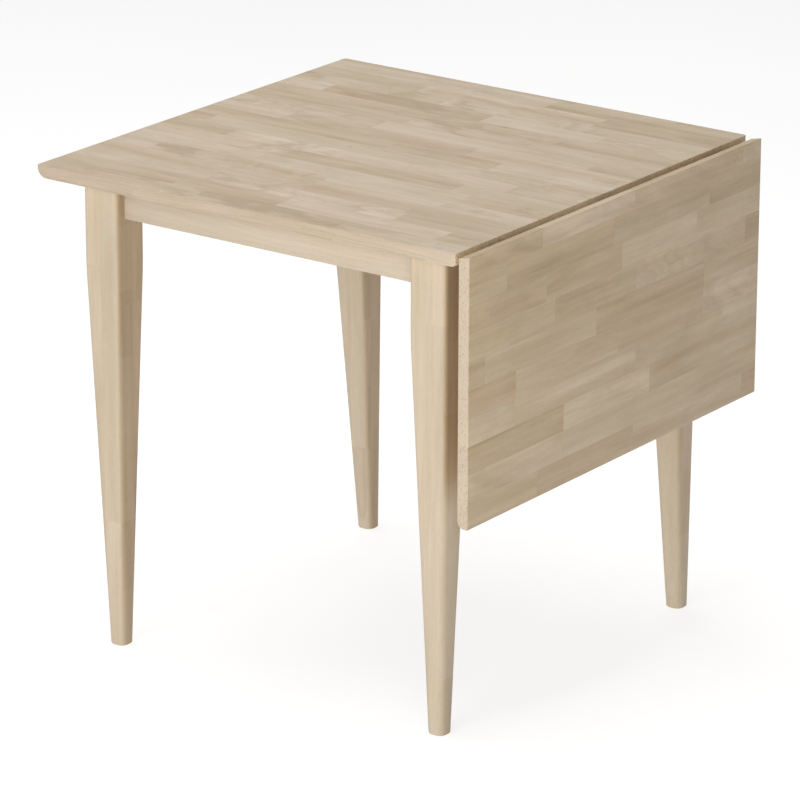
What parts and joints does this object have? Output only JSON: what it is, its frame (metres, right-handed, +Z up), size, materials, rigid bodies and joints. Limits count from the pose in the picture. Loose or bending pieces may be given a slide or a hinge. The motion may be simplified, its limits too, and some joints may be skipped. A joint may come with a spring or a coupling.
{
  "type": "drop-leaf table",
  "caption": "Drop-leaf dining table: square stave top on tapered, round-cornered legs and slim aprons, with a rectangular leaf that hangs at the side and swings up level.",
  "frame": {"origin": "on the floor under the centre of the bounding box, leaf hanging", "axes": "+X towards the hanging leaf, the longest extent; +Y to the back; +Z up"},
  "size_m": [0.776, 0.755, 0.75],
  "materials": {
    "top_wood": "edge-glued pale hardwood staves, matt oil",
    "leaf_wood": "edge-glued pale hardwood staves, matt oil",
    "apron_wood": "pale hardwood, matt oil",
    "leg_wood": "pale hardwood, matt oil",
    "block_wood": "sawn pale hardwood",
    "dowel_wood": "turned beech",
    "hinge_steel": "zinc-plated steel",
    "stay_steel": "zinc-plated steel",
    "fastener_steel": "zinc-plated steel"
  },
  "bodies": {
    "table": {"table_top": "top_wood", "apron_front": "apron_wood", "apron_back": "apron_wood", "apron_left": "apron_wood", "apron_hinge": "apron_wood", "leg_front_left": "leg_wood", "leg_back_left": "leg_wood", "leg_front_hinge": "leg_wood", "leg_back_hinge": "leg_wood", "corner_block_front_left": "block_wood", "corner_block_back_left": "block_wood", "corner_block_front_hinge": "block_wood", "corner_block_back_hinge": "block_wood", "block_screws": "fastener_steel", "hanger_bolts": "fastener_steel", "washers": "fastener_steel", "nuts": "fastener_steel", "dowels": "dowel_wood", "top_brackets": "hinge_steel", "bracket_screws": "fastener_steel", "hinge_front_top_plate": "hinge_steel", "hinge_middle_top_plate": "hinge_steel", "hinge_back_top_plate": "hinge_steel", "hinge_front_pin": "hinge_steel", "hinge_middle_pin": "hinge_steel", "hinge_back_pin": "hinge_steel", "hinge_screws_top": "fastener_steel", "stay_front_bracket": "stay_steel", "stay_back_bracket": "stay_steel", "stay_front_pivot_rivet": "stay_steel", "stay_back_pivot_rivet": "stay_steel", "stay_screws_apron": "fastener_steel"},
    "leaf": {"drop_leaf": "leaf_wood", "hinge_front_leaf_plate": "hinge_steel", "hinge_middle_leaf_plate": "hinge_steel", "hinge_back_leaf_plate": "hinge_steel", "hinge_screws_leaf": "fastener_steel", "stay_front_guide": "stay_steel", "stay_back_guide": "stay_steel", "stay_screws_leaf": "fastener_steel"},
    "stay_front": {"stay_front_arm": "stay_steel", "stay_front_slide_pin": "stay_steel"},
    "stay_back": {"stay_back_arm": "stay_steel", "stay_back_slide_pin": "stay_steel"}
  },
  "joints": [
    {"name": "leaf_hinge", "type": "hinge", "parent": "table", "child": "leaf", "pos_m": [0.37525, 0, 0.73725], "axis": [0, -1, 0], "range_deg": [0, 90]},
    {"name": "stay_front_pivot", "type": "hinge", "parent": "table", "child": "stay_front", "pos_m": [0.35775, -0.17, 0.66525], "axis": [0, -1, 0], "range_deg": [0, 107.5]},
    {"name": "stay_back_pivot", "type": "hinge", "parent": "table", "child": "stay_back", "pos_m": [0.35775, 0.17, 0.66525], "axis": [0, -1, 0], "range_deg": [0, 107.5]}
  ],
  "couplings": [
    {"joint": "stay_front_pivot", "follows": "leaf_hinge", "ratio": 1.1904},
    {"joint": "stay_back_pivot", "follows": "leaf_hinge", "ratio": 1.1904}
  ]
}
